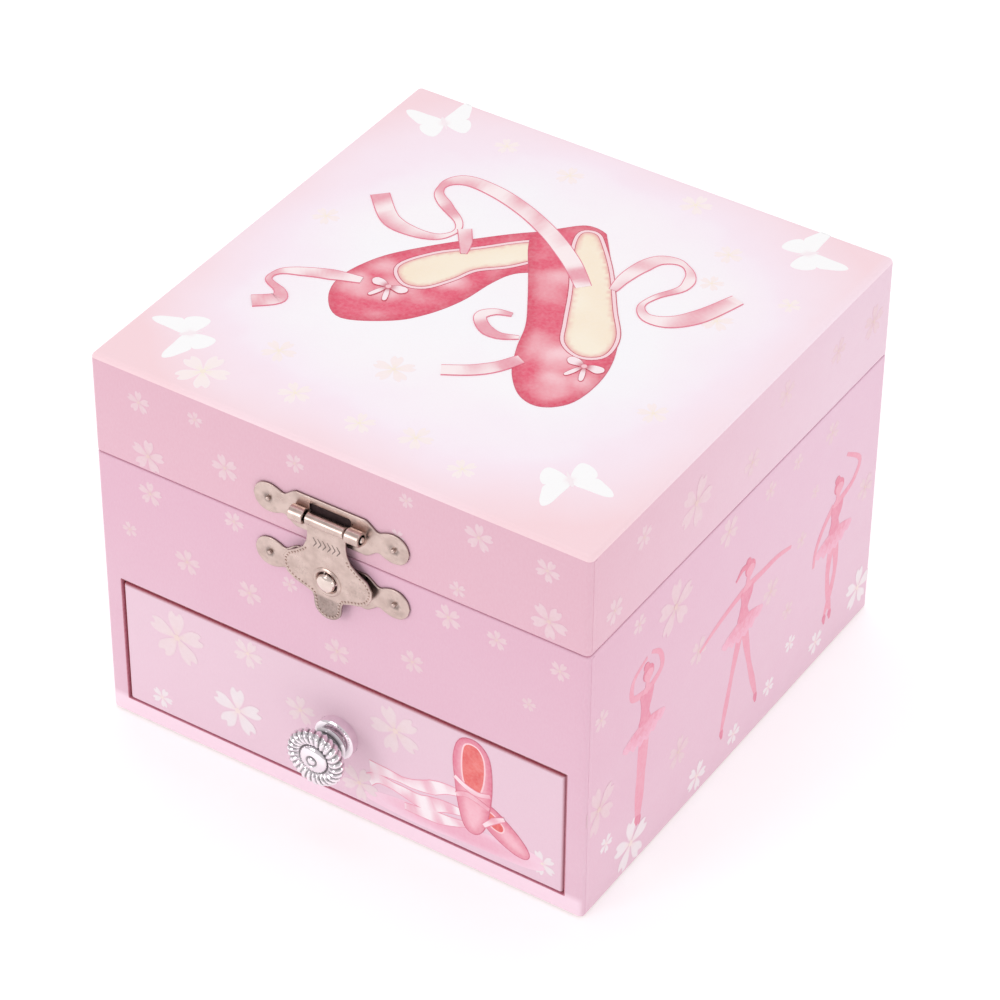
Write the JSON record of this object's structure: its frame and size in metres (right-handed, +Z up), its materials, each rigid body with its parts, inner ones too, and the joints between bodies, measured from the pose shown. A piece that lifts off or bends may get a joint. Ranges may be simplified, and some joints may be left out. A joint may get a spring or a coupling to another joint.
{
  "type": "music jewellery box",
  "caption": "Paper-wrapped jewellery box with hinged lid, hasp catch, knobbed drawer and a wind-up movement that turns a folding dancer.",
  "frame": {"origin": "middle of the base, on the surface the box stands on", "axes": "+Z up through the lid, -Y out of the front with the drawer and catch, +X to the right seen from the front"},
  "size_m": [0.1094, 0.1315, 0.0868],
  "materials": {
    "wrapped_board": "printed pink paper over board, satin",
    "lid_board": "printed white and pink paper over board, satin",
    "drawer_board": "printed light pink paper over board, satin",
    "tray_card": "pink paper-lined card",
    "knob_chrome": "bright chrome",
    "catch_nickel": "stamped nickel-plated steel, warm satin",
    "steel": "plain steel",
    "spring_steel": "bright spring wire",
    "movement_brass": "machined brass",
    "mirror": "silvered glass",
    "white_plastic": "white moulding",
    "figure_plastic": "painted moulding",
    "tulle": "gathered pink net"
  },
  "bodies": {
    "case": {"base_board": "wrapped_board", "left_wall": "wrapped_board", "right_wall": "wrapped_board", "back_wall": "wrapped_board", "front_wall": "wrapped_board", "shelf_board": "wrapped_board", "movement_bay_wall": "wrapped_board", "stage_board": "wrapped_board", "catch_lower_plate": "catch_nickel", "catch_lower_nail_left": "catch_nickel", "catch_lower_nail_right": "catch_nickel", "hinge_left_case_leaf": "catch_nickel", "hinge_right_case_leaf": "catch_nickel", "hinge_left_pin": "steel", "hinge_right_pin": "steel", "hinge_left_case_nail_outer": "catch_nickel", "hinge_left_case_nail_inner": "catch_nickel", "hinge_right_case_nail_outer": "catch_nickel", "hinge_right_case_nail_inner": "catch_nickel", "movement_bedplate": "steel", "spring_barrel": "movement_brass", "tone_comb": "steel", "comb_screw_lower": "steel", "comb_screw_upper": "steel", "governor_bracket": "movement_brass", "movement_screw_left": "steel", "movement_screw_right": "steel"},
    "lid": {"lid_top_board": "lid_board", "lid_left_wall": "wrapped_board", "lid_right_wall": "wrapped_board", "lid_front_wall": "wrapped_board", "lid_back_wall": "wrapped_board", "lid_mirror": "mirror", "catch_upper_plate": "catch_nickel", "catch_upper_nail_left": "catch_nickel", "catch_upper_nail_right": "catch_nickel", "catch_pin": "steel", "hinge_left_lid_leaf": "catch_nickel", "hinge_right_lid_leaf": "catch_nickel", "hinge_left_lid_nail_outer": "catch_nickel", "hinge_left_lid_nail_inner": "catch_nickel", "hinge_right_lid_nail_outer": "catch_nickel", "hinge_right_lid_nail_inner": "catch_nickel"},
    "hasp": {"catch_hasp": "catch_nickel"},
    "drawer": {"drawer_front": "drawer_board", "drawer_tray": "tray_card", "drawer_bottom": "tray_card", "drawer_knob": "knob_chrome", "drawer_knob_screw": "steel"},
    "cylinder": {"pin_cylinder": "movement_brass"},
    "dancer_base": {"dancer_socket": "white_plastic", "dancer_spring": "spring_steel"},
    "ballerina": {"ballerina_figure": "figure_plastic", "ballerina_tutu": "tulle"},
    "key": {"winding_key": "catch_nickel", "great_wheel": "movement_brass"},
    "governor_wheel": {"governor_wheel": "movement_brass"},
    "governor_fly": {"governor_fly": "movement_brass"},
    "stop_wire": {"stop_wire": "steel"}
  },
  "joints": [
    {"name": "lid_hinge", "type": "hinge", "parent": "case", "child": "lid", "pos_m": [0, 0.0565, 0.06425], "axis": [-1, 0, 0], "range_deg": [0, 95]},
    {"name": "catch_hasp_hinge", "type": "hinge", "parent": "lid", "child": "hasp", "pos_m": [-0.0005, -0.05675, 0.07125], "axis": [-1, 0, 0], "range_deg": [0, 150]},
    {"name": "drawer_slide", "type": "slide", "parent": "case", "child": "drawer", "axis": [0, -1, 0], "range_m": [0, 0.06]},
    {"name": "ballerina_fold", "type": "hinge", "parent": "case", "child": "dancer_base", "pos_m": [0, 0.032, 0.064], "axis": [-1, 0, 0], "range_deg": [0, 90], "deforming": ["dancer_spring"]},
    {"name": "ballerina_spin", "type": "hinge", "parent": "dancer_base", "child": "ballerina", "pos_m": [0, 0.032, 0.064], "axis": [0, -1, 0], "continuous": true},
    {"name": "cylinder_spin", "type": "hinge", "parent": "case", "child": "cylinder", "pos_m": [0, 0.032, 0.0375], "axis": [0, 0, 1], "continuous": true},
    {"name": "key_turn", "type": "hinge", "parent": "case", "child": "key", "pos_m": [0, 0.05, 0.0165], "axis": [0, 1, 0], "continuous": true},
    {"name": "governor_wheel_spin", "type": "hinge", "parent": "case", "child": "governor_wheel", "pos_m": [-0.0097, 0.032, 0.0375], "axis": [0, 0, 1], "continuous": true},
    {"name": "governor_fly_spin", "type": "hinge", "parent": "case", "child": "governor_fly", "pos_m": [-0.0194, 0.032, 0.0375], "axis": [0, 0, 1], "continuous": true},
    {"name": "stop_wire_slide", "type": "slide", "parent": "case", "child": "stop_wire", "axis": [0, 0, 1], "range_m": [0, 0.005]}
  ],
  "couplings": [
    {"joint": "ballerina_fold", "follows": "lid_hinge", "ratio": 0.947},
    {"joint": "stop_wire_slide", "follows": "lid_hinge", "m_per_rad": 0.003},
    {"joint": "ballerina_spin", "follows": "cylinder_spin", "ratio": 1},
    {"joint": "key_turn", "follows": "cylinder_spin", "ratio": -0.33333},
    {"joint": "governor_wheel_spin", "follows": "cylinder_spin", "ratio": -3},
    {"joint": "governor_fly_spin", "follows": "cylinder_spin", "ratio": 9}
  ]
}
